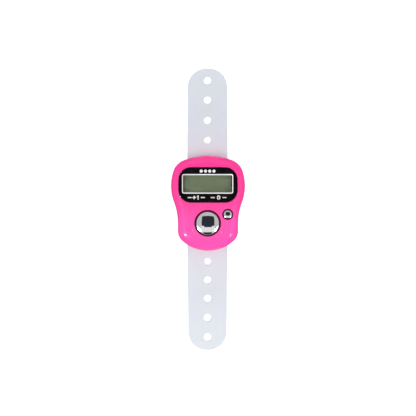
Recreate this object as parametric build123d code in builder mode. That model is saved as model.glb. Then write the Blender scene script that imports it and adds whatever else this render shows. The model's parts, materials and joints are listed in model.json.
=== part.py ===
"""An electronic finger tally counter on a silicone band, built as the pieces it comes apart into.

Frame: +Z out of the display, +Y towards the band's upper end, origin midway along the band
on the plane that the counter lies on. Millimetres.
"""

import os
from math import asin, atan2, cos, degrees, hypot, sin, sqrt

from build123d import *

os.makedirs("parts", exist_ok=True)

# ---------------------------------------------------------------- driving sizes

# Case outline, measured from the case's own centre
case_length = 36.0
head_half_width = 14.0
foot_half_width = 11.4
head_y = 6.6
top_r = 25.0
shoulder_r = 6.5
side_r = 18.0
waist_r = 22.0
corner_r = 5.0
bottom_r = 14.5
body_y = 2.3  # the case's centre, from the band's middle

# Heights above the plane that the counter lies on
bar_top = 1.3
band_low = 1.4
band_thickness = 1.2
back_low = 2.7
floor_top = 3.9
split_z = 7.2
lip_top = 7.9
board_low = 7.8
board_top = 8.6
shelf_low = 10.9
seat_z = 11.5
case_top = 12.8
key_stop_z = 10.3

wall = 1.2
lip_inset = 0.6
fit_gap = 0.05
crown_fillet = 4.2
cavity_fillet = 2.4
back_fillet = 1.5
frame_low = 9.0
nose_start_y = -2.0  # the face slopes down from here to the foot
nose_r = 70.0
mound_rise = 0.1
mound_start_y = -4.5  # the raised ring round the count key slopes down from here
mound_low, mound_low_r = 11.2, 7.2
mound_high, mound_high_r = 13.4, 5.95
mound_edge_r = 0.5

# Lens and display, from the case's centre
lens_w = 22.6
lens_h = 13.5
lens_corner_r = 4.8
lens_side_sag = 0.35
lens_y = 6.92
lens_gap = 0.12
print_x = -0.15
window_y = 7.17
window_w = 17.7
window_h = 6.65
outline_y = 7.3
outline_w = 19.35
outline_h = 7.4
outline_line = 0.43
glass_w = 19.2
glass_y = 8.2
glass_h = 8.8
ledge = 1.7
frame_wall = 0.8
print_depth = 0.03
tape_depth = 0.1
lens_depth = 0.8
lens_float = 0.02  # air left between the printing and the lens
polariser_high = 11.08
front_glass_low = 10.4
rear_glass_high = 10.36
rear_glass_low = 9.84
reflector_low = 9.66

# Keys
count_x, count_y = -0.12, -7.53
count_r = 4.35
count_bore_r = 4.45
count_ring_r = 4.98
count_flange_r = 5.4
count_apex_z = 13.65
count_rim_z = 12.7
count_foot_z = 9.9
reset_x, reset_y = 7.45, -4.22
reset_r = 1.55
reset_bore_r = 1.65
reset_ring_r = 2.05
reset_flange_r = 2.5
reset_apex_z = 12.98
reset_rim_z = 12.65
reset_foot_z = 9.7
ring_floor_z = 11.2  # bottom of the shallow ring sunk round each key
flange_high = 10.25

# Cell
cell_r = 5.8
cell_height = 3.1
cell_y = -1.0
cell_low = 4.3
strip = 0.2
leg_x = 7.25

# Fasteners, from the case's centre
case_screw_spots = [(11.3, 6.6), (-11.3, 6.6), (8.7, -9.0), (-8.7, -9.0)]
board_screw_spots = [(0, 15.2), (-9.6, -1.8), (0, -15.2)]
front_boss_r = 1.4
back_boss_r = 1.65
board_boss_r = 1.1
case_screw_r = 0.7
screw_head_r = 1.3
board_screw_r = 0.5
chip_x, chip_y = -1.5, 7.6

# White marks on the lens
mark_top_y = 12.1
mark_y = 2.14
mark_h = 1.6
mark_line = 0.42
count_mark_x = -4.45
reset_mark_x = 4.0

# Band, from the band's middle
band_length = 107.3
band_half_width = 7.7
upper_tip_half_width = 7.52
lower_tip_half_width = 7.3
band_corner = 6.9
upper_holes = [49.15, 41.7, 33.9, 26.35]
lower_holes = [-20.0, -27.0, -34.05, -41.3, -48.75]
hole_r = 1.42
upper_fold = 37.65
lower_fold = -30.25

# Keeper bars under the band, from the case's centre
bar_length = 18.8
slot_half_width = 7.95
upper_bar_y = (12.4, 15.0)
lower_bar_y = (-14.0, -11.6)
bar_to_fold = 2.2

band_mid = band_low + band_thickness / 2
half_thickness = band_thickness / 2
upper_root = body_y + upper_bar_y[1] + bar_to_fold
lower_root = body_y + lower_bar_y[0] - bar_to_fold


def level(z):
    """Sketch plane at height z, centred on the case."""
    return Plane((0, body_y, z))


def save(builder, name):
    builder.part.label = name
    export_step(builder.part, f"parts/{name}.step")


# ---------------------------------------------------------------- shared outlines


def circle_meet(first, first_r, second, second_r):
    """Right-hand crossing of two circles."""
    dx, dy = second[0] - first[0], second[1] - first[1]
    apart = hypot(dx, dy)
    along = (apart**2 + first_r**2 - second_r**2) / (2 * apart)
    aside = sqrt(first_r**2 - along**2)
    ux, uy = dx / apart, dy / apart
    options = [
        (first[0] + ux * along + side * uy * aside, first[1] + uy * along - side * ux * aside)
        for side in (1, -1)
    ]
    return max(options)


def heading(start, end):
    return degrees(atan2(end[1] - start[1], end[0] - start[0]))


def case_face(inset):
    """The case's plan outline: tangent arcs, mirrored, every point moved in by inset."""
    half = case_length / 2
    top = (0, half - top_r)
    side = (head_half_width - side_r, head_y)
    shoulder = circle_meet(top, top_r - shoulder_r, side, side_r - shoulder_r)
    reach = foot_half_width + waist_r
    waist = (reach, head_y - sqrt((side_r + waist_r) ** 2 - (reach - side[0]) ** 2))
    bottom = (0, bottom_r - half)
    corner_x = foot_half_width - corner_r
    corner = (corner_x, bottom[1] - sqrt((bottom_r - corner_r) ** 2 - corner_x**2))
    shoulder_start = heading(top, shoulder)
    side_start = heading(side, shoulder)
    waist_start = heading(side, waist)
    corner_end = heading(bottom, corner)
    with BuildSketch() as face:
        with BuildLine():
            CenterArc(top, top_r - inset, 90, shoulder_start - 90)
            CenterArc(shoulder, shoulder_r - inset, shoulder_start, side_start - shoulder_start)
            CenterArc(side, side_r - inset, side_start, waist_start - side_start)
            CenterArc(waist, waist_r + inset, waist_start + 180, -waist_start)
            Line((foot_half_width - inset, waist[1]), (foot_half_width - inset, corner[1]))
            CenterArc(corner, corner_r - inset, 0, corner_end)
            CenterArc(bottom, bottom_r - inset, corner_end, -90 - corner_end)
            mirror(about=Plane.YZ)
        make_face()
    return face.sketch


def lens_face(gap):
    """The lens outline: four slightly bowed sides with round corners, moved in by gap."""
    half_w, half_h = lens_w / 2 - gap, lens_h / 2 - gap
    with BuildSketch() as face:
        with BuildLine():
            Line((-half_w + lens_side_sag, half_h), (half_w - lens_side_sag, half_h))
            ThreePointArc(
                (half_w - lens_side_sag, half_h), (half_w, 0), (half_w - lens_side_sag, -half_h)
            )
            Line((half_w - lens_side_sag, -half_h), (-half_w + lens_side_sag, -half_h))
            ThreePointArc(
                (-half_w + lens_side_sag, -half_h), (-half_w, 0), (-half_w + lens_side_sag, half_h)
            )
        make_face()
        fillet(face.vertices(), lens_corner_r - gap)
    return face.sketch


def side_profile(top_z, low_z, start_y):
    """The case seen from the side: flat over the display, then curving down to the foot."""
    reach = 20.0
    bend = asin((reach + start_y) / nose_r)
    low_nose = (-reach, top_z - nose_r + nose_r * cos(bend))
    with BuildSketch(Plane((0, body_y, 0), x_dir=(0, 1, 0), z_dir=(1, 0, 0))) as profile:
        with BuildLine():
            Line((reach, low_z), (reach, top_z))
            Line((reach, top_z), (start_y, top_z))
            TangentArc((start_y, top_z), low_nose, tangent=(-1, 0))
            Line(low_nose, (-reach, low_z))
            Line((-reach, low_z), (reach, low_z))
        make_face()
    return profile.sketch


case_outline = case_face(0)
inner_outline = case_face(wall)
lip_outline = case_face(lip_inset)
rebate_outline = case_face(lip_inset - fit_gap)
board_outline = case_face(wall + 0.35)
lens_outline = lens_face(lens_gap)
tape_outline = lens_face(0.35)
pocket_outline = lens_face(0)

# ---------------------------------------------------------------- case

with BuildPart() as crown:
    with BuildSketch(level(split_z)):
        add(case_outline)
    extrude(amount=case_top - split_z)
    crown_side = side_profile(case_top, split_z, nose_start_y)
    extrude(crown_side, amount=20, both=True, mode=Mode.INTERSECT)
    rim = crown.edges().filter_by_position(Axis.Z, split_z + 1, case_top)
    fillet(rim.filter_by(Axis.Z, reverse=True).filter_by(Axis.X, reverse=True), crown_fillet)

# Bosses, key stops and the display's frame, left standing when the inside is hollowed
with BuildPart() as inner_ribs:
    with BuildSketch(level(frame_low)):
        with Locations((0, glass_y)):
            Rectangle(glass_w + 2 * frame_wall + 0.3, glass_h + 2 * frame_wall + 0.3)
    extrude(amount=seat_z - frame_low)
    with BuildSketch(level(key_stop_z)):
        with Locations((count_x, count_y)):
            Circle(count_ring_r + 1.6)
        with Locations((reset_x, reset_y)):
            Circle(reset_ring_r + 1.2)
    extrude(amount=seat_z - key_stop_z)
    with BuildSketch(level(split_z + 0.1)):
        with Locations(*case_screw_spots):
            Circle(front_boss_r)
    extrude(amount=seat_z - split_z - 0.1)
    with BuildSketch(level(board_top)):
        with Locations(*board_screw_spots):
            Circle(board_boss_r)
    extrude(amount=seat_z - board_top)

with BuildPart() as cavity:
    with BuildSketch(level(split_z)):
        add(inner_outline)
    extrude(amount=seat_z - split_z)
    cavity_side = side_profile(seat_z, split_z, nose_start_y)
    extrude(cavity_side, amount=20, both=True, mode=Mode.INTERSECT)
    rim = cavity.edges().filter_by_position(Axis.Z, split_z + 1, seat_z)
    fillet(rim.filter_by(Axis.Z, reverse=True).filter_by(Axis.X, reverse=True), cavity_fillet)
    add(inner_ribs.part, mode=Mode.SUBTRACT)

with BuildPart() as key_mound:
    with BuildSketch(Plane((count_x, body_y + count_y, 0), x_dir=(1, 0, 0), z_dir=(0, -1, 0))):
        with BuildLine():
            Polyline(
                (0, mound_low), (mound_low_r, mound_low), (mound_high_r, mound_high),
                (0, mound_high), close=True,
            )
        make_face()
    revolve(axis=Axis((count_x, body_y + count_y, 0), (0, 0, 1)))
    mound_side = side_profile(case_top + mound_rise, split_z, mound_start_y)
    extrude(mound_side, amount=20, both=True, mode=Mode.INTERSECT)
    fillet(key_mound.faces().sort_by(Axis.Z)[-1].edges(), mound_edge_r)

with BuildPart() as front_case:
    add(crown.part)
    add(key_mound.part)
    add(cavity.part, mode=Mode.SUBTRACT)
    # Rebate for the back case's lip
    with BuildSketch(level(split_z)):
        add(rebate_outline)
        add(inner_outline, mode=Mode.SUBTRACT)
    extrude(amount=lip_top + fit_gap - split_z, mode=Mode.SUBTRACT)
    # Lens pocket, the window below it and the display's seat below that
    with BuildSketch(level(seat_z)):
        with Locations((0, lens_y)):
            add(pocket_outline)
    extrude(amount=2, mode=Mode.SUBTRACT)
    with BuildSketch(level(shelf_low)):
        with Locations((0, window_y)):
            RectangleRounded(window_w + 1.3, window_h + 0.9, 0.5)
    extrude(amount=1, mode=Mode.SUBTRACT)
    with BuildSketch(level(frame_low)):
        with Locations((0, glass_y)):
            Rectangle(glass_w + 0.3, glass_h + 0.3)
    extrude(amount=shelf_low - frame_low, mode=Mode.SUBTRACT)
    # Key bores, opening into a shallow ring at the face
    with BuildSketch(level(key_stop_z)):
        with Locations((count_x, count_y)):
            Circle(count_bore_r)
        with Locations((reset_x, reset_y)):
            Circle(reset_bore_r)
    extrude(amount=4, mode=Mode.SUBTRACT)
    with BuildSketch(level(ring_floor_z)):
        with Locations((count_x, count_y)):
            Circle(count_ring_r)
        with Locations((reset_x, reset_y)):
            Circle(reset_ring_r)
    extrude(amount=2, mode=Mode.SUBTRACT)
    # Pilot holes in the bosses
    with BuildSketch(level(split_z + 0.1)):
        with Locations(*case_screw_spots):
            Circle(case_screw_r + 0.02)
    extrude(amount=2.6, mode=Mode.SUBTRACT)
    with BuildSketch(level(board_top)):
        with Locations(*board_screw_spots):
            Circle(board_screw_r + 0.02)
    extrude(amount=1.6, mode=Mode.SUBTRACT)
save(front_case, "front_case")

with BuildPart() as back_case:
    with BuildSketch(level(back_low)):
        add(case_outline)
    extrude(amount=split_z - back_low)
    fillet(back_case.faces().sort_by(Axis.Z)[0].edges(), back_fillet)
    with BuildSketch(level(floor_top)):
        add(inner_outline)
    extrude(amount=split_z - floor_top, mode=Mode.SUBTRACT)
    with BuildSketch(level(split_z - 0.4)):
        add(lip_outline)
        add(inner_outline, mode=Mode.SUBTRACT)
    extrude(amount=lip_top - split_z + 0.4)
    # Screw bosses and the cell's pocket wall
    with BuildSketch(level(floor_top - 0.2)):
        with Locations(*case_screw_spots):
            Circle(back_boss_r)
    extrude(amount=split_z - floor_top + 0.2)
    with BuildSketch(level(floor_top - 0.2)):
        with Locations((0, cell_y)):
            Circle(cell_r + 0.9)
            Circle(cell_r + 0.1, mode=Mode.SUBTRACT)
        with Locations((cell_r + 0.5, cell_y)):
            Rectangle(2, 3.4, mode=Mode.SUBTRACT)
    extrude(amount=3.2)
    # Keeper bars on end posts, leaving the band's slot between them and the floor
    for low, high in (upper_bar_y, lower_bar_y):
        with BuildSketch(level(0)):
            with Locations((0, (low + high) / 2)):
                Rectangle(bar_length, high - low)
        extrude(amount=bar_top)
    bar_edges = back_case.edges().filter_by(Axis.X).filter_by_position(Axis.Z, -0.1, bar_top + 0.1)
    fillet(bar_edges, 0.4)
    post_w = bar_length / 2 - slot_half_width
    for low, high in (upper_bar_y, lower_bar_y):
        with BuildSketch(level(bar_top / 2)):
            with Locations(
                (slot_half_width + post_w / 2, (low + high) / 2),
                (-slot_half_width - post_w / 2, (low + high) / 2),
            ):
                Rectangle(post_w, high - low)
        extrude(amount=floor_top - 0.4 - bar_top / 2)
    # Screw holes, recessed for the heads
    with BuildSketch(level(back_low - 0.1)):
        with Locations(*case_screw_spots):
            Circle(case_screw_r + 0.06)
    extrude(amount=6, mode=Mode.SUBTRACT)
    with BuildSketch(level(back_low - 0.1)):
        with Locations(*case_screw_spots):
            Circle(screw_head_r + 0.1)
    extrude(amount=1.1, mode=Mode.SUBTRACT)
save(back_case, "back_case")


def screws(name, spots, head_low, head_r, head_h, shank_r, shank_high, slot):
    """Round-headed self-tapping screws standing head down, with a cross recess in each head."""
    with BuildPart() as group:
        with BuildSketch(level(head_low)):
            with Locations(*spots):
                Circle(head_r)
        extrude(amount=head_h)
        fillet(group.faces().group_by(Axis.Z)[0].edges(), head_h * 0.45)
        with BuildSketch(level(head_low + head_h)):
            with Locations(*spots):
                Circle(shank_r)
        extrude(amount=shank_high - head_low - head_h)
        with BuildSketch(level(head_low)):
            with Locations(*spots):
                Rectangle(head_r * 1.1, slot)
                Rectangle(slot, head_r * 1.1)
        extrude(amount=head_h * 0.5, mode=Mode.SUBTRACT)
    save(group, name)


screws("case_screws", case_screw_spots, back_low + 0.2, screw_head_r, 0.8, case_screw_r, 9.6, 0.3)
screws("board_screws", board_screw_spots, board_low - 0.55, 0.95, 0.55, board_screw_r, 10.0, 0.22)

# ---------------------------------------------------------------- lens and display

print_low = seat_z + tape_depth
white_low = print_low + print_depth
lens_low = white_low + print_depth + lens_float


def flat_piece(name, face, y, low, depth, hole=None):
    """A flat sheet of one outline, with an optional rectangular hole."""
    with BuildPart() as sheet:
        with BuildSketch(level(low)):
            with Locations((0, y)):
                add(face)
            if hole:
                with Locations((print_x, hole[0])):
                    RectangleRounded(hole[1], hole[2], 0.4, mode=Mode.SUBTRACT)
        extrude(amount=depth)
    save(sheet, name)


with BuildPart() as display_lens:
    with BuildSketch(level(lens_low)):
        with Locations((0, lens_y)):
            add(lens_outline)
    extrude(amount=lens_depth)
    fillet(display_lens.faces().sort_by(Axis.Z)[-1].edges(), 0.25)
save(display_lens, "display_lens")

window = (window_y, window_w, window_h)
flat_piece("lens_tape", tape_outline, lens_y, seat_z, tape_depth, (window_y, 19.0, 7.5))
flat_piece("lens_black_print", lens_outline, lens_y, print_low, print_depth, window)

with BuildPart() as lens_white_print:
    with BuildSketch(level(white_low)):
        with Locations((print_x, outline_y)):
            RectangleRounded(outline_w, outline_h, 0.75)
            RectangleRounded(
                outline_w - 2 * outline_line, outline_h - 2 * outline_line, 0.4,
                mode=Mode.SUBTRACT,
            )
        # Four plain dots above the window
        with Locations((print_x, mark_top_y)):
            with GridLocations(1.6, 1, 4, 1):
                Circle(0.58)
        # Dash, plus, one, dash over the count key
        with Locations((count_mark_x - 2.5, mark_y), (count_mark_x + 2.5, mark_y)):
            Rectangle(1.5, mark_line)
        with Locations((count_mark_x - 0.75, mark_y)):
            Rectangle(1.3, mark_line)
            Rectangle(mark_line, 1.3)
        with Locations((count_mark_x + 0.75, mark_y)):
            Rectangle(mark_line, mark_h)
        with Locations((count_mark_x + 0.5, mark_y + mark_h / 2 - mark_line)):
            Rectangle(0.5, mark_line)
        # Dash, zero, dash beside it for the reset key
        with Locations((reset_mark_x - 2.2, mark_y), (reset_mark_x + 2.2, mark_y)):
            Rectangle(1.5, mark_line)
        with Locations((reset_mark_x, mark_y)):
            RectangleRounded(1.25, mark_h, 0.6)
            RectangleRounded(
                1.25 - 2 * mark_line, mark_h - 2 * mark_line, 0.18, mode=Mode.SUBTRACT
            )
    extrude(amount=print_depth)
save(lens_white_print, "lens_white_print")


def display_sheet(name, width, height, y, low, high):
    with BuildPart() as sheet:
        with BuildSketch(level(low)):
            with Locations((0, y)):
                Rectangle(width, height)
        extrude(amount=high - low)
    save(sheet, name)


rear_h = glass_h - ledge
rear_y = glass_y - ledge / 2
film_w, film_h = glass_w - 0.6, rear_h - 0.3
display_sheet("lcd_polariser", film_w, film_h, rear_y + 0.05, shelf_low, polariser_high)
display_sheet("lcd_front_glass", glass_w, glass_h, glass_y, front_glass_low, shelf_low)
display_sheet("lcd_rear_glass", glass_w, rear_h, rear_y, rear_glass_low, rear_glass_high)
display_sheet("lcd_reflector", film_w, film_h, rear_y, reflector_low, rear_glass_low)

with BuildPart() as lcd_seal:
    with BuildSketch(level(rear_glass_high)):
        with Locations((0, rear_y)):
            Rectangle(glass_w, rear_h)
            Rectangle(glass_w - 1.0, rear_h - 1.0, mode=Mode.SUBTRACT)
    extrude(amount=front_glass_low - rear_glass_high)
save(lcd_seal, "lcd_seal")

display_sheet(
    "zebra_connector", 17.0, 1.3, glass_y + glass_h / 2 - 0.8, board_top, front_glass_low
)

# ---------------------------------------------------------------- circuit board

with BuildPart() as circuit_board:
    with BuildSketch(level(board_low)):
        add(board_outline)
        with Locations(*case_screw_spots):
            Circle(back_boss_r + 0.1, mode=Mode.SUBTRACT)
        with Locations(*board_screw_spots):
            Circle(board_screw_r + 0.05, mode=Mode.SUBTRACT)
        with Locations((leg_x, cell_y), (-leg_x, cell_y)):
            Rectangle(strip + 0.1, 1.0, mode=Mode.SUBTRACT)
    extrude(amount=board_top - board_low)
save(circuit_board, "circuit_board")

with BuildPart() as chip_blob:
    with BuildSketch(level(board_top)):
        with Locations((chip_x, chip_y)):
            Circle(2.6)
    extrude(amount=0.8)
    fillet(chip_blob.edges().group_by(Axis.Z)[-1], 0.7)
save(chip_blob, "chip_blob")

with BuildPart() as smd_parts:
    with BuildSketch(level(board_top)):
        with Locations((-6.2, 1.4), (-4.2, 1.4), (3.4, 1.4)):
            Rectangle(1.0, 0.5)
    extrude(amount=0.45)
    chamfer(smd_parts.faces().group_by(Axis.Z)[-1].edges(), 0.08)
save(smd_parts, "smd_parts")

with BuildPart() as key_pads:
    with BuildSketch(level(board_top)):
        with Locations((count_x, count_y)):
            Circle(1.9)
            Rectangle(0.35, 4, mode=Mode.SUBTRACT)
        with Locations((reset_x, reset_y)):
            Circle(1.1)
        with Locations((reset_x, reset_y)):
            Rectangle(0.3, 3, mode=Mode.SUBTRACT)
    extrude(amount=print_depth)
save(key_pads, "key_pads")

with BuildPart() as solder_joints:
    for x in (leg_x, -leg_x):
        with BuildSketch(level(board_top)):
            with Locations((x, cell_y)):
                Circle(0.75)
        with BuildSketch(level(board_top + 0.35)):
            with Locations((x, cell_y)):
                Circle(0.5)
        loft()
    with BuildSketch(level(board_top)):
        with Locations((leg_x, cell_y), (-leg_x, cell_y)):
            Rectangle(strip, 0.8)
    extrude(amount=1, mode=Mode.SUBTRACT)
save(solder_joints, "solder_joints")

# ---------------------------------------------------------------- keys


def turned(name, x, y, points, crown_arc=None):
    """A round piece: its half section, given as radius and height, turned about its own axis."""
    with BuildPart() as piece:
        with BuildSketch(Plane((x, body_y + y, 0), x_dir=(1, 0, 0), z_dir=(0, -1, 0))):
            with BuildLine():
                Polyline(*points, close=crown_arc is None)
                if crown_arc:
                    ThreePointArc(points[-1], crown_arc, points[0])
            make_face()
        revolve(axis=Axis((x, body_y + y, 0), (0, 0, 1)))
    save(piece, name)


def dome_mid(radius, rim_z, apex_z):
    """A point halfway along the crown arc from its rim to its apex."""
    rise = apex_z - rim_z
    ball = (radius**2 + rise**2) / (2 * rise)
    half_angle = asin(radius / ball) / 2
    return (ball * sin(half_angle), apex_z - ball + ball * cos(half_angle))


count_section = [
    (0, count_apex_z), (0, count_foot_z), (1.6, count_foot_z), (1.6, 11.6), (3.6, 11.6),
    (3.6, 9.7), (count_flange_r, 9.7), (count_flange_r, flange_high), (count_r, flange_high),
    (count_r, count_rim_z - 0.15), (count_r - 0.15, count_rim_z),
]
turned(
    "count_button", count_x, count_y, count_section,
    dome_mid(count_r - 0.15, count_rim_z, count_apex_z),
)
reset_section = [
    (0, reset_apex_z), (0, reset_foot_z), (1.3, reset_foot_z), (1.3, 9.85),
    (reset_flange_r, 9.85), (reset_flange_r, flange_high), (reset_r, flange_high),
    (reset_r, reset_rim_z - 0.1), (reset_r - 0.1, reset_rim_z),
]
turned(
    "reset_button", reset_x, reset_y, reset_section,
    dome_mid(reset_r - 0.1, reset_rim_z, reset_apex_z),
)

# Silicone domes that push the buttons back, and the conductive pills under them
turned(
    "count_dome", count_x, count_y,
    [
        (0, count_foot_z), (0, count_foot_z - 0.3), (1.95, count_foot_z - 0.3),
        (2.65, board_top), (3.5, board_top), (3.5, board_top + 0.25),
        (3.0, board_top + 0.3), (2.3, count_foot_z),
    ],
)
turned(
    "reset_dome", reset_x, reset_y,
    [
        (0, reset_foot_z), (0, reset_foot_z - 0.3), (1.1, reset_foot_z - 0.3),
        (1.5, board_top), (2.0, board_top), (2.0, board_top + 0.25),
        (1.75, board_top + 0.3), (1.35, reset_foot_z),
    ],
)
for name, x, y, radius, high in (
    ("count_pill", count_x, count_y, 1.7, count_foot_z - 0.3),
    ("reset_pill", reset_x, reset_y, 0.9, reset_foot_z - 0.3),
):
    turned(name, x, y, [(0, high), (0, high - 0.15), (radius, high - 0.15), (radius, high)])

# ---------------------------------------------------------------- cell and contacts

crimp_z = cell_low + 2.1
can_high = cell_low + 2.75
turned(
    "battery_can", 0, cell_y,
    [
        (0, cell_low), (cell_r - 0.3, cell_low), (cell_r, cell_low + 0.3),
        (cell_r, can_high - 0.25), (cell_r - 0.25, can_high), (cell_r - 0.7, can_high),
        (cell_r - 0.7, crimp_z), (0, crimp_z),
    ],
)
turned(
    "battery_gasket", 0, cell_y,
    [
        (cell_r - 0.7, crimp_z), (cell_r - 0.7, can_high + 0.05),
        (cell_r - 1.1, can_high + 0.05), (cell_r - 1.1, crimp_z),
    ],
)
turned(
    "battery_cap", 0, cell_y,
    [
        (0, crimp_z), (cell_r - 1.1, crimp_z), (cell_r - 1.1, can_high),
        (cell_r - 1.5, cell_low + cell_height), (0, cell_low + cell_height),
    ],
)


def contact(name, side, reach, low, width):
    """A spring strip lying flat against the cell, with a leg and a solder tab at its outer end."""
    leg_low, leg_high = leg_x - strip / 2, leg_x + strip / 2
    strip_high = low + strip
    with BuildPart() as spring:
        with BuildSketch(Plane((0, body_y + cell_y, 0), x_dir=(side, 0, 0), z_dir=(0, -side, 0))):
            with BuildLine():
                Polyline(
                    (-reach, low), (leg_high, low), (leg_high, board_low),
                    (leg_low, board_low), (leg_low, strip_high), (-reach, strip_high),
                    close=True,
                )
            make_face()
        extrude(amount=width / 2, both=True)
        with BuildSketch(level(board_low)):
            with Locations((side * leg_x, cell_y)):
                Rectangle(strip, 0.8)
        extrude(amount=1.3)
    save(spring, name)


contact("positive_contact", 1, 3.0, cell_low - strip, 3.0)
contact("negative_contact", -1, 1.5, cell_low + cell_height, 2.4)

# ---------------------------------------------------------------- silicone band

with BuildSketch() as band_plan:
    with BuildLine():
        Polyline(
            (-band_half_width, 0), (-upper_tip_half_width, band_length / 2),
            (upper_tip_half_width, band_length / 2), (band_half_width, 0),
            (lower_tip_half_width, -band_length / 2), (-lower_tip_half_width, -band_length / 2),
            close=True,
        )
    make_face()
    fillet(band_plan.vertices().sort_by(Axis.Y)[:2], band_corner)
    fillet(band_plan.vertices().sort_by(Axis.Y)[-2:], band_corner)
    with Locations(*[(0, y) for y in upper_holes + lower_holes]):
        Circle(hole_r, mode=Mode.SUBTRACT)


def band_link(name, fold, far, short):
    """A straight stretch seen from the side: round nose on its fold, cut square short of far."""
    with BuildPart() as link:
        with BuildSketch(Plane.YZ):
            with Locations(fold):
                Circle(half_thickness)
            with Locations(Location((fold[0], fold[1], 0), (0, 0, heading(fold, far)))):
                Rectangle(
                    hypot(far[0] - fold[0], far[1] - fold[1]) - short, band_thickness,
                    align=(Align.MIN, Align.CENTER),
                )
        extrude(amount=10, both=True)
        with BuildSketch(Plane.XY.offset(-1)):
            add(band_plan.sketch)
        extrude(amount=5, mode=Mode.INTERSECT)
    save(link, name)


nose_gap = half_thickness + fit_gap
tip = band_length / 2
band_link("upper_band_inner", (upper_root, band_mid), (upper_fold, half_thickness), nose_gap)
band_link("upper_band_outer", (upper_fold, half_thickness), (tip, half_thickness), 0)
band_link("lower_band_inner", (lower_root, band_mid), (lower_fold, half_thickness), nose_gap)
band_link("lower_band_outer", (lower_fold, half_thickness), (-tip, half_thickness), 0)

with BuildPart() as band_centre:
    with BuildSketch(Plane.XY.offset(band_low)):
        add(band_plan.sketch)
        with Locations((0, (upper_root + lower_root) / 2)):
            Rectangle(20, upper_root - lower_root - 2 * nose_gap, mode=Mode.INTERSECT)
    extrude(amount=band_thickness)
save(band_centre, "band_centre")
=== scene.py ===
import json
import math

import bmesh
import bpy
from mathutils import Matrix, Vector


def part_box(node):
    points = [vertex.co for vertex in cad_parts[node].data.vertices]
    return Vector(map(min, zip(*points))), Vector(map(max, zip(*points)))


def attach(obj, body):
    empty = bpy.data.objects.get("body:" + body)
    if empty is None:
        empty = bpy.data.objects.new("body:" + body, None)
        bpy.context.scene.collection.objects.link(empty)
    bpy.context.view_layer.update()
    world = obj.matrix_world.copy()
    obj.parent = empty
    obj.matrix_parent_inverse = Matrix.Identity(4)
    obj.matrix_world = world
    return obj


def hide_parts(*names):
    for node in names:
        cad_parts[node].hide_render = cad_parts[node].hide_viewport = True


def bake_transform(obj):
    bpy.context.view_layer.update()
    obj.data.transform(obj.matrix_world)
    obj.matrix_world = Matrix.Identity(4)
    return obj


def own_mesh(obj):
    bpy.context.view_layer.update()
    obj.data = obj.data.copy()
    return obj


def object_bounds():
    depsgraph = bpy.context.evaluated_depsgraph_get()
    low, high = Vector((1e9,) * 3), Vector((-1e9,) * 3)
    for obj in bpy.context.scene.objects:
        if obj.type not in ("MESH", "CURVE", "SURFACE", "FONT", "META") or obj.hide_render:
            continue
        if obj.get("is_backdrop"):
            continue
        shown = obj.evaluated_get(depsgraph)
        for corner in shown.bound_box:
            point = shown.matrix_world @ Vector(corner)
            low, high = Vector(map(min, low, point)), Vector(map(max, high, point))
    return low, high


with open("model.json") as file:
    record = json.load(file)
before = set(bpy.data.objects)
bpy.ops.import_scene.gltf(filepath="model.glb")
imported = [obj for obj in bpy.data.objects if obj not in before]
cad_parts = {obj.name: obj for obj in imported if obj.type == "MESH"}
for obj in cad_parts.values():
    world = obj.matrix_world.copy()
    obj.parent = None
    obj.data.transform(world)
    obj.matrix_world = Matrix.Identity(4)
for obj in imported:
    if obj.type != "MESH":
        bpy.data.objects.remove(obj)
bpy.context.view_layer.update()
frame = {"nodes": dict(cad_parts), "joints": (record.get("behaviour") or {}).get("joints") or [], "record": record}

MM = 0.001

# ---------------------------------------------------------------- material helpers


def material(name, base, roughness, metallic=0.0, **sockets):
    """A Principled material; sockets are further inputs by name, with _ for a space."""
    made = bpy.data.materials.new(name)
    made.use_nodes = True
    shader = shader_of(made)
    shader.inputs["Base Color"].default_value = (*base, 1)
    shader.inputs["Roughness"].default_value = roughness
    shader.inputs["Metallic"].default_value = metallic
    for socket, value in sockets.items():
        shader.inputs[socket.replace("_", " ")].default_value = value
    made.diffuse_color = (*base, 1)
    return made


def shader_of(mat):
    return mat.node_tree.nodes["Principled BSDF"]


def add_node(mat, kind, **inputs):
    """A new node; inputs are its input values by name, with _ for a space."""
    node = mat.node_tree.nodes.new(kind)
    for socket, value in inputs.items():
        node.inputs[socket.replace("_", " ")].default_value = value
    return node


def link(mat, source, output, target, socket):
    mat.node_tree.links.new(source.outputs[output], target.inputs[socket])


def noise(mat, scale, detail=3.0):
    """Solid noise in the piece's own coordinates; scale is in features per metre."""
    place = add_node(mat, "ShaderNodeTexCoord")
    texture = add_node(mat, "ShaderNodeTexNoise", Scale=scale, Detail=detail)
    link(mat, place, "Object", texture, "Vector")
    return texture


def remap(mat, source, output, from_low, from_high, to_low, to_high):
    """Stretches a node's output from one range to another, and clamps it there."""
    span = add_node(
        mat, "ShaderNodeMapRange",
        From_Min=from_low, From_Max=from_high, To_Min=to_low, To_Max=to_high,
    )
    link(mat, source, output, span, "Value")
    return span


def share_along_y(mat, start, end):
    """0 at y = start, 1 at y = end and beyond."""
    place = add_node(mat, "ShaderNodeTexCoord")
    split = add_node(mat, "ShaderNodeSeparateXYZ")
    link(mat, place, "Object", split, "Vector")
    return remap(mat, split, "Y", start, end, 0, 1)


def mix_colour(mat, share, first, second):
    """From first to second as share's result goes from 0 to 1; gives the mixed colour's output."""
    blend = add_node(mat, "ShaderNodeMix")
    blend.data_type = "RGBA"
    sockets = [port for port in blend.inputs if port.type == "RGBA"]
    link(mat, share, "Result", blend, "Factor")
    for socket, colour in zip(sockets, (first, second)):
        if isinstance(colour, tuple):
            socket.default_value = (*colour, 1)
        else:
            mat.node_tree.links.new(colour, socket)
    return [port for port in blend.outputs if port.type == "RGBA"][0]


def set_colour(mat, colour):
    mat.node_tree.links.new(colour, shader_of(mat).inputs["Base Color"])


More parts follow.
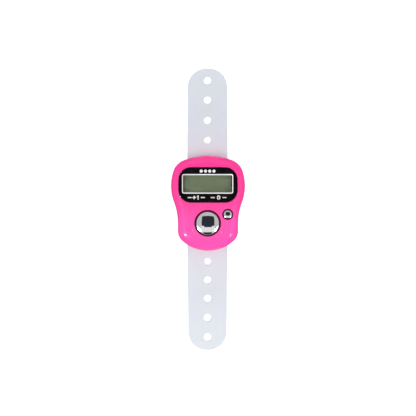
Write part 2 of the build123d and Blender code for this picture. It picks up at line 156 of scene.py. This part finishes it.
def vary_colour(mat, texture, dark, light, low=0.35, high=0.65):
    """The base colour runs from dark to light with the texture."""
    ramp = add_node(mat, "ShaderNodeValToRGB")
    ramp.color_ramp.elements[0].position = low
    ramp.color_ramp.elements[0].color = (*dark, 1)
    ramp.color_ramp.elements[1].position = high
    ramp.color_ramp.elements[1].color = (*light, 1)
    link(mat, texture, "Fac", ramp, "Fac")
    set_colour(mat, ramp.outputs["Color"])


def vary_roughness(mat, texture, low, high):
    link(mat, remap(mat, texture, "Fac", 0, 1, low, high), "Result", shader_of(mat), "Roughness")


def bump(mat, texture, depth):
    """Raises the surface by the texture; depth is in metres."""
    node = add_node(mat, "ShaderNodeBump", Strength=1.0, Distance=depth)
    link(mat, texture, "Fac", node, "Height")
    link(mat, node, "Normal", shader_of(mat), "Normal")


# ---------------------------------------------------------------- materials

pink_head = (0.97, 0.040, 0.300)
pink_foot_painted_light = (0.98, 0.074, 0.43)
pink_cloud = (0.5, 0.0, 0.1)
# painted shade for the grooves round the keys
pink_painted_gap_shade = (0.25, 0.001, 0.012)
# painted light: the pink is made paler towards the foot, where more light falls on it
painted_light_from, painted_light_to = 5 * MM, -6 * MM
painted_shade_edge = 0.06 * MM
gaps = (("count_button", 5.0 * MM), ("reset_button", 2.07 * MM))
band_pale = (0.705, 0.735, 0.775)
band_painted_shade_grey = (0.650, 0.685, 0.735)
band_cloud = (0.45, 0.46, 0.50)
# painted shade: the band greys towards its upper end, where less light falls
painted_shade_from, painted_shade_to = -45 * MM, 45 * MM


def pink_plastic():
    """Glossy pink moulding; painted light makes it paler towards the foot, and painted shade darkens the gaps
    round the keys.
    """
    mat = material("pink_abs_gloss", pink_head, 0.2)
    # painted light: paler pink towards the foot
    painted_light_share = share_along_y(mat, painted_light_from, painted_light_to)
    painted_light_share.interpolation_type = "SMOOTHSTEP"
    colour = mix_colour(mat, painted_light_share, pink_head, pink_foot_painted_light)
    cloud = remap(mat, noise(mat, 60), "Fac", 0, 1, 0, 0.05)
    colour = mix_colour(mat, cloud, colour, pink_cloud)
    place = add_node(mat, "ShaderNodeTexCoord")
    level = add_node(mat, "ShaderNodeVectorMath")
    level.operation = "MULTIPLY"
    level.inputs[1].default_value = (1, 1, 0)
    link(mat, place, "Object", level, "Vector")
    # painted shade: the pink turns deep red within each key's groove, where shade falls
    for key, radius in gaps:
        low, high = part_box(key)
        away = add_node(mat, "ShaderNodeVectorMath")
        away.operation = "DISTANCE"
        away.inputs[1].default_value = ((low.x + high.x) / 2, (low.y + high.y) / 2, 0)
        link(mat, level, "Vector", away, "Vector")
        clear_of_painted_shade = remap(mat, away, "Value", radius, radius + painted_shade_edge, 0, 1)
        colour = mix_colour(mat, clear_of_painted_shade, pink_painted_gap_shade, colour)
    set_colour(mat, colour)
    vary_roughness(mat, noise(mat, 350, detail=5), 0.17, 0.25)
    bump(mat, noise(mat, 700, detail=2), 4e-6)
    return mat


def pink_back_plastic():
    """The back shell's satin moulding."""
    mat = material("pink_abs_satin", (0.95, 0.05, 0.30), 0.38)
    vary_colour(mat, noise(mat, 60), (0.93, 0.045, 0.285), (0.96, 0.054, 0.31))
    vary_roughness(mat, noise(mat, 500, detail=5), 0.32, 0.46)
    bump(mat, noise(mat, 6000, detail=2), 1.2e-5)
    return mat


def chrome():
    """Mirror plating with faint unevenness."""
    mat = material("key_chrome", (0.98, 0.98, 1.0), 0.05, metallic=1.0)
    vary_roughness(mat, noise(mat, 400, detail=6), 0.03, 0.07)
    bump(mat, noise(mat, 900, detail=2), 1e-6)
    return mat


def silicone():
    """Milky band; painted shade makes it a little greyer towards its upper end."""
    mat = material("band_silicone_milky", band_pale, 0.5, Specular_IOR_Level=0.35)
    # painted shade along the band's length
    painted_shade_share = share_along_y(mat, painted_shade_from, painted_shade_to)
    colour = mix_colour(mat, painted_shade_share, band_pale, band_painted_shade_grey)
    cloud = remap(mat, noise(mat, 250, detail=4), "Fac", 0, 1, 0, 0.1)
    set_colour(mat, mix_colour(mat, cloud, colour, band_cloud))
    vary_roughness(mat, noise(mat, 900, detail=4), 0.42, 0.58)
    bump(mat, noise(mat, 3500, detail=3), 1e-5)
    return mat


def metal(name, base, low, high, scale):
    """Bare or plated metal whose roughness runs from low to high."""
    mat = material(name, base, low, metallic=1.0)
    vary_roughness(mat, noise(mat, scale, detail=5), low, high)
    bump(mat, noise(mat, scale * 2, detail=3), 3e-6)
    return mat


def plain(name, base, low, high, scale, depth=5e-6, **sockets):
    """A moulded, printed or coated surface: slight colour change, uneven gloss, fine relief."""
    mat = material(name, base, low, **sockets)
    darker = [c * 0.9 for c in base]
    vary_colour(mat, noise(mat, scale / 4), darker, base)
    vary_roughness(mat, noise(mat, scale, detail=4), low, high)
    bump(mat, noise(mat, scale * 2, detail=3), depth)
    return mat


def clear(name, base, roughness, ior):
    """Polished clear plastic or glass."""
    mat = material(name, base, roughness, Transmission_Weight=1.0, IOR=ior)
    bump(mat, noise(mat, 900, detail=2), 5e-7)
    return mat


finishes = {
    "pink_abs": pink_plastic(),
    "pink_abs_back": pink_back_plastic(),
    "screw_steel": metal("screw_zinc", (0.60, 0.60, 0.61), 0.25, 0.42, 2500),
    "lens_acrylic": clear("lens_clear", (0.96, 0.97, 0.97), 0.01, 1.49),
    "black_print": plain("print_black", (0.006, 0.004, 0.005), 0.4, 0.5, 3000, Specular_IOR_Level=0),
    "white_print": plain("print_white", (0.86, 0.86, 0.84), 0.45, 0.55, 3000),
    "foam_tape": plain("tape_black", (0.03, 0.03, 0.03), 0.8, 0.9, 3000),
    "polariser_film": plain("polariser_green", (0.132, 0.166, 0.094), 0.35, 0.42, 1500, 1e-6),
    "display_glass": clear("glass_green", (0.85, 0.90, 0.85), 0.02, 1.52),
    "seal_resin": plain("seal_cream", (0.70, 0.66, 0.55), 0.4, 0.5, 2000),
    "reflector_foil": plain("foil_green", (0.35, 0.38, 0.30), 0.3, 0.4, 2000),
    "zebra_rubber": plain("zebra_pink", (0.50, 0.20, 0.28), 0.6, 0.7, 3000),
    "board_laminate": plain("board_green", (0.02, 0.12, 0.05), 0.3, 0.45, 2500),
    "black_resin": plain("resin_black", (0.015, 0.015, 0.016), 0.2, 0.35, 1500, 2e-5),
    "chip_ceramic": plain("ceramic_tan", (0.45, 0.33, 0.22), 0.5, 0.6, 4000),
    "carbon_print": plain("carbon_black", (0.03, 0.03, 0.03), 0.6, 0.7, 5000),
    "solder": metal("solder_tin", (0.72, 0.72, 0.72), 0.2, 0.35, 2000),
    "button_chrome": chrome(),
    "clear_silicone": plain("dome_silicone", (0.75, 0.75, 0.73), 0.45, 0.55, 3000),
    "carbon_rubber": plain("pill_carbon", (0.02, 0.02, 0.02), 0.65, 0.75, 4000),
    "cell_steel": metal("cell_nickel", (0.70, 0.70, 0.68), 0.22, 0.34, 1800),
    "gasket_nylon": plain("gasket_white", (0.75, 0.77, 0.82), 0.4, 0.5, 3000),
    "contact_steel": metal("contact_nickel", (0.74, 0.70, 0.58), 0.25, 0.38, 2000),
    "band_silicone": silicone(),
}

slot_of = {part["node"]: part["material_slot"] for part in frame["record"]["subparts"]}
for name, node in frame["nodes"].items():
    node.data.materials.clear()
    node.data.materials.append(finishes[slot_of[name]])

# light reaches the printing and the display through these
for name in ("display_lens", "lcd_front_glass", "lcd_polariser"):
    frame["nodes"][name].visible_shadow = False

# ---------------------------------------------------------------- silicone band

centre_low, centre_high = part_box("band_centre")
tip_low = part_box("lower_band_outer")[0]
tip_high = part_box("upper_band_outer")[1]
joint_at = {joint["name"]: joint.get("pos_m") for joint in frame["joints"]}
thickness = centre_high.z - centre_low.z
slot_z = (centre_low.z + centre_high.z) / 2
floor_z = thickness / 2
upper_root_y = joint_at["upper_band_bend"][1]
upper_fold_y = joint_at["upper_tip_bend"][1]
lower_root_y = joint_at["lower_band_bend"][1]
lower_fold_y = joint_at["lower_tip_bend"][1]
band_half = 7.7 * MM  # half widths: middle, upper tip, lower tip
upper_half = 7.52 * MM
lower_half = 7.3 * MM
corner = 6.9 * MM
hole_r = 1.42 * MM
edge_round = 0.1 * MM
band_shift = -0.2 * MM  # the band lies a little to one side in its slot
spare = 1.2 * MM  # a piece is made this much too long, then trimmed at its cut
slice_length = 0.6 * MM
holes = [y * MM for y in (49.15, 41.7, 33.9, 26.35, -20.0, -27.0, -34.05, -41.3, -48.75)]


def half_width(y):
    """The band narrows a little towards each tip."""
    tip = tip_high.y if y > 0 else tip_low.y
    end = upper_half if y > 0 else lower_half
    return band_half + (end - band_half) * y / tip


def ring(centre, radius, steps=40):
    """A circle as points."""
    turns = [2 * math.pi * i / steps for i in range(steps)]
    return [(centre[0] + radius * math.cos(t), centre[1] + radius * math.sin(t)) for t in turns]


def tip_outline(tip, steps=14):
    """Half outline of a tip from the side edge to the middle, as points."""
    sign = 1 if tip > 0 else -1
    side = half_width(tip)
    cx, cy = side - corner, tip - sign * corner
    quarter = [math.pi / 2 * i / steps for i in range(steps + 1)]
    return [(cx + corner * math.cos(t), cy + sign * corner * math.sin(t)) for t in quarter]


def band_height(y):
    """Height of the band's middle: level in the slot, easing down to lie on the floor."""
    root, fold = (upper_root_y, upper_fold_y) if y > 0 else (lower_root_y, lower_fold_y)
    share = min(max((y - root) / (fold - root), 0), 1)
    return slot_z + (floor_z - slot_z) * share


def flat_outline(low, high):
    """The band's outline between two ends, anticlockwise; past a cut it runs on by a spare length."""
    low = low if low == tip_low.y else low - spare
    high = high if high == tip_high.y else high + spare
    if high == tip_high.y:
        right = tip_outline(high)
        top = right + [(-x, y) for x, y in reversed(right)]
    else:
        top = [(half_width(high), high), (-half_width(high), high)]
    if low == tip_low.y:
        right = tip_outline(low)
        bottom = [(-x, y) for x, y in right] + [(x, y) for x, y in reversed(right)]
    else:
        bottom = [(-half_width(low), low), (half_width(low), low)]
    return top + bottom


def outline_mesh(name, low, high):
    """A flat stretch of band: a bevelled outline with its holes."""
    curve = bpy.data.curves.new(name, "CURVE")
    curve.dimensions = "2D"
    curve.fill_mode = "BOTH"
    curve.extrude = thickness / 2 - edge_round
    curve.bevel_depth = edge_round
    curve.offset = -edge_round
    curve.bevel_resolution = 3
    outlines = [flat_outline(low, high)]
    outlines += [ring((0, y), hole_r) for y in holes if low < y < high]
    for points in outlines:
        spline = curve.splines.new("POLY")
        spline.points.add(len(points) - 1)
        for point, (x, y) in zip(spline.points, points):
            point.co = (x, y, 0, 1)
        spline.use_cyclic_u = True
    holder = bpy.data.objects.new(name + "_outline", curve)
    bpy.context.scene.collection.objects.link(holder)
    graph = bpy.context.evaluated_depsgraph_get()
    mesh = bpy.data.meshes.new_from_object(holder.evaluated_get(graph))
    bpy.data.objects.remove(holder)
    mesh.name = name
    return mesh


def cut_across(shape, y, outward, clear=False):
    """Cuts the whole shape at y; with clear, what lies outward of it goes."""
    geometry = shape.verts[:] + shape.edges[:] + shape.faces[:]
    return bmesh.ops.bisect_plane(
        shape, geom=geometry, plane_co=(0, y, 0), plane_no=(0, outward, 0), dist=1e-7,
        clear_outer=clear,
    )


def trim(shape, y, outward):
    """Takes away the spare length past y and closes the cut end."""
    cut = cut_across(shape, y, outward, clear=True)
    edges = [part for part in cut["geom_cut"] if isinstance(part, bmesh.types.BMEdge)]
    bmesh.ops.contextual_create(shape, geom=edges)


def band_piece(name, low, high):
    """A stretch of band, sliced across, trimmed, and then sagged."""
    mesh = outline_mesh(name, low, high)
    shape = bmesh.new()
    shape.from_mesh(mesh)
    bmesh.ops.remove_doubles(shape, verts=shape.verts, dist=1e-6)
    slices = int((high - low) / slice_length)
    for i in range(1, slices):
        cut_across(shape, low + i * (high - low) / slices, 1)
    for y, outward in ((low, -1), (high, 1)):
        if y not in (tip_low.y, tip_high.y):
            trim(shape, y, outward)
    for vert in shape.verts:
        vert.co.z += band_height(vert.co.y)
    bmesh.ops.recalc_face_normals(shape, faces=shape.faces)
    shape.to_mesh(mesh)
    shape.free()
    mesh.materials.clear()
    mesh.materials.append(finishes["band_silicone"])
    mesh.shade_smooth()
    mesh.set_sharp_from_angle(angle=math.radians(40))
    mesh.transform(Matrix.Translation((band_shift, 0, 0)))
    piece = bpy.data.objects.new(name, mesh)
    bpy.context.scene.collection.objects.link(piece)
    return piece


middle_short = 3.3 * MM  # the middle piece ends this far inside its two hinges
case_upper_y = upper_root_y - middle_short
case_lower_y = lower_root_y + middle_short
upper_cut = 30.1 * MM  # each tail is cut between two holes, short of its fold
lower_cut = -23.1 * MM

middle = band_piece("band_middle_piece", case_lower_y, case_upper_y)
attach(middle, "band_middle")
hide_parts("band_centre")

for name, low, high, near, far, at, nodes in (
    ("band_upper_root", case_upper_y, upper_cut, "band_middle", "upper_band_root",
     upper_root_y, ["upper_band_inner"]),
    ("band_upper_tip", upper_cut, tip_high.y, "upper_band_root", "upper_band_tip",
     upper_fold_y, ["upper_band_outer"]),
    ("band_lower_root", lower_cut, case_lower_y, "band_middle", "lower_band_root",
     lower_root_y, ["lower_band_inner"]),
    ("band_lower_tip", tip_low.y, lower_cut, "lower_band_root", "lower_band_tip",
     lower_fold_y, ["lower_band_outer"]),
):
    piece = band_piece(name, low, high)
    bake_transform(piece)
    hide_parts(*nodes)

# ---------------------------------------------------------------- rubber domes under the keys

for key, travel in (("count", 0.8 * MM), ("reset", 0.6 * MM)):
    low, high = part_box(key + "_dome")
    dome = bpy.data.objects.new(key + "_dome_rubber", frame["nodes"][key + "_dome"].data.copy())
    bpy.context.scene.collection.objects.link(dome)
    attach(dome, "case")
    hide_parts(key + "_dome")
    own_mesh(dome)

# ---------------------------------------------------------------- studio

floor_white = (0.95, 0.95, 0.95)
floor_bounce = (0.28, 0.28, 0.29)
floor_glow = 0.56
floor_size = 6.0
floor_drop = 0.02 * MM
sky_high, sky_low = 0.49, 0.24
fill_distance, fill_width, fill_height = 1.2, 1.0, 0.6
white, pale = (1, 1, 1), (0.72, 0.73, 0.75)
dark, black = (0.025, 0.025, 0.035), (0.01, 0.01, 0.01)
view_distance = 0.9
view_width = 157.8 * MM
view_centre_y = 0.5 * MM
view_centre_z = 6 * MM


def stage_material(name, colour, strength):
    """A plain glow."""
    mat = bpy.data.materials.new(name)
    mat.use_nodes = True
    mat.node_tree.nodes.clear()
    glow = mat.node_tree.nodes.new("ShaderNodeEmission")
    glow.inputs["Color"].default_value = (*colour, 1)
    glow.inputs["Strength"].default_value = strength
    out = mat.node_tree.nodes.new("ShaderNodeOutputMaterial")
    mat.node_tree.links.new(glow.outputs[0], out.inputs[0])
    return mat


def direction(polar, azimuth):
    """Unit vector that leans polar degrees from straight up, towards azimuth."""
    lean, turn = math.radians(polar), math.radians(azimuth)
    return Vector((math.sin(lean) * math.cos(turn), math.sin(lean) * math.sin(turn), math.cos(lean)))


def card(name, points, faces, colour, strength):
    """A card seen only in reflections and through the clear parts."""
    mesh = bpy.data.meshes.new(name)
    mesh.from_pydata([tuple(point) for point in points], [], faces)
    mesh.materials.append(stage_material(name, colour, strength))
    made = bpy.data.objects.new(name, mesh)
    bpy.context.scene.collection.objects.link(made)
    made.visible_camera = False
    made.visible_diffuse = False
    made.visible_shadow = False
    made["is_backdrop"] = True


def flat_card(name, centre, half_w, half_h, colour):
    """A level rectangle."""
    x, y, z = centre
    sides = ((-1, -1), (1, -1), (1, 1), (-1, 1))
    corners = [(x + across * half_w, y + along * half_h, z) for across, along in sides]
    card(name, corners, [(0, 1, 2, 3)], colour, 1)


def hoop_card(name, azimuth, half_angle, inner, outer, colour, strength=1, steps=24):
    """A curved card, one metre off; inner and outer are the lean of its edges, middle and ends."""
    points = []
    for i in range(steps + 1):
        share = 2 * i / steps - 1
        for middle, end in (inner, outer):
            points.append(direction(middle + (end - middle) * share**2, azimuth + half_angle * share))
    faces = [(2 * i, 2 * i + 1, 2 * i + 3, 2 * i + 2) for i in range(steps)]
    card(name, points, faces, colour, strength)


def floor_material():
    """White to the camera; to all other light, a darker matt surface."""
    mat = bpy.data.materials.new("floor_white")
    mat.use_nodes = True
    tree = mat.node_tree
    tree.nodes.clear()
    matt = tree.nodes.new("ShaderNodeBsdfDiffuse")
    matt.inputs["Color"].default_value = (*floor_bounce, 1)
    seen = tree.nodes.new("ShaderNodeBsdfDiffuse")
    seen.inputs["Color"].default_value = (*floor_white, 1)
    glow = tree.nodes.new("ShaderNodeEmission")
    glow.inputs["Strength"].default_value = floor_glow
    bright = tree.nodes.new("ShaderNodeAddShader")
    choose = tree.nodes.new("ShaderNodeMixShader")
    ray = tree.nodes.new("ShaderNodeLightPath")
    out = tree.nodes.new("ShaderNodeOutputMaterial")
    tree.links.new(seen.outputs[0], bright.inputs[0])
    tree.links.new(glow.outputs[0], bright.inputs[1])
    tree.links.new(ray.outputs["Is Camera Ray"], choose.inputs[0])
    tree.links.new(matt.outputs[0], choose.inputs[1])
    tree.links.new(bright.outputs[0], choose.inputs[2])
    tree.links.new(choose.outputs[0], out.inputs[0])
    return mat


def floor():
    """A wide floor, just under the object."""
    mesh = bpy.data.meshes.new("floor")
    corners = ((-1, -1), (1, -1), (1, 1), (-1, 1))
    mesh.from_pydata([(x * floor_size, y * floor_size, 0) for x, y in corners], [], [(0, 1, 2, 3)])
    mesh.materials.append(floor_material())
    made = bpy.data.objects.new("floor", mesh)
    made.location.z = -floor_drop
    bpy.context.scene.collection.objects.link(made)
    made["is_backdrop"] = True


def sky():
    """Soft surroundings, brighter above."""
    world = bpy.data.worlds.new("studio")
    world.use_nodes = True
    tree = world.node_tree
    place = tree.nodes.new("ShaderNodeTexCoord")
    split = tree.nodes.new("ShaderNodeSeparateXYZ")
    ramp = tree.nodes.new("ShaderNodeValToRGB")
    ramp.color_ramp.elements[0].position = 0.0
    ramp.color_ramp.elements[0].color = (sky_low, sky_low, sky_low * 1.1, 1)
    ramp.color_ramp.elements[1].position = 0.6
    ramp.color_ramp.elements[1].color = (sky_high, sky_high, sky_high * 1.04, 1)
    tree.links.new(place.outputs["Generated"], split.inputs[0])
    tree.links.new(split.outputs["Z"], ramp.inputs[0])
    tree.links.new(ramp.outputs[0], tree.nodes["Background"].inputs["Color"])
    bpy.context.scene.world = world


def fill_light(name, polar, azimuth, level):
    """Soft light without a reflection; level is the exposure that it gives a level surface."""
    lamp = bpy.data.lights.new(name, "AREA")
    lamp.shape = "RECTANGLE"
    lamp.size, lamp.size_y = fill_width, fill_height
    lamp.energy = level * math.pi**2 * fill_distance**2 / math.cos(math.radians(polar))
    made = bpy.data.objects.new(name, lamp)
    made.location = direction(polar, azimuth) * fill_distance
    made.rotation_euler = (-made.location).to_track_quat("-Z", "Y").to_euler()
    bpy.context.scene.collection.objects.link(made)
    made.visible_glossy = False
    made.visible_transmission = False


def overhead_camera():
    """Looks straight down, as in the photograph; view_width is what it sees at view_distance."""
    eye = bpy.data.cameras.new("camera")
    eye.sensor_width = 36
    eye.lens = eye.sensor_width * view_distance / view_width
    eye.clip_start, eye.clip_end = 0.01, 20
    made = bpy.data.objects.new("camera", eye)
    made.location = (0, view_centre_y, view_distance + view_centre_z)
    bpy.context.scene.collection.objects.link(made)
    bpy.context.scene.camera = made


floor()
sky()
for name, polar, azimuth, level in (
    ("overhead_fill", 8, 270, 0.35),
    ("front_fill", 74, 270, 0.10),
    ("back_fill", 74, 90, 0.10),
    ("left_fill", 77, 180, 0.11),
    ("right_fill", 77, 0, 0.11),
):
    fill_light(name, polar, azimuth, level)
hoop_card("soft_left", 213, 32, (44.5, 52), (54, 54), white, 2.2)
hoop_card("soft_right", 327, 29, (44.5, 52), (54, 54), white, 2.2)
hoop_card("lamp_left", 220, 11, (44, 46), (58, 58), white, 34)
hoop_card("lamp_right", 318, 9, (44.5, 47), (56, 56), white, 20)
hoop_card("dark_front", 270, 25, (41.5, 45), (51, 47), black)
flat_card("dark_overhead", (0.037, 0.20, 1.0), 0.55, 0.435, dark)
flat_card("dark_tab", (0.037, -0.28, 1.0), 0.32, 0.05, dark)
flat_card("bright_front", (0, -0.60, 1.01), 0.62, 0.36, pale)

overhead_camera()
bpy.context.scene.view_settings.view_transform = "Standard"
bpy.context.scene.view_settings.look = "None"

low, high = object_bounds()
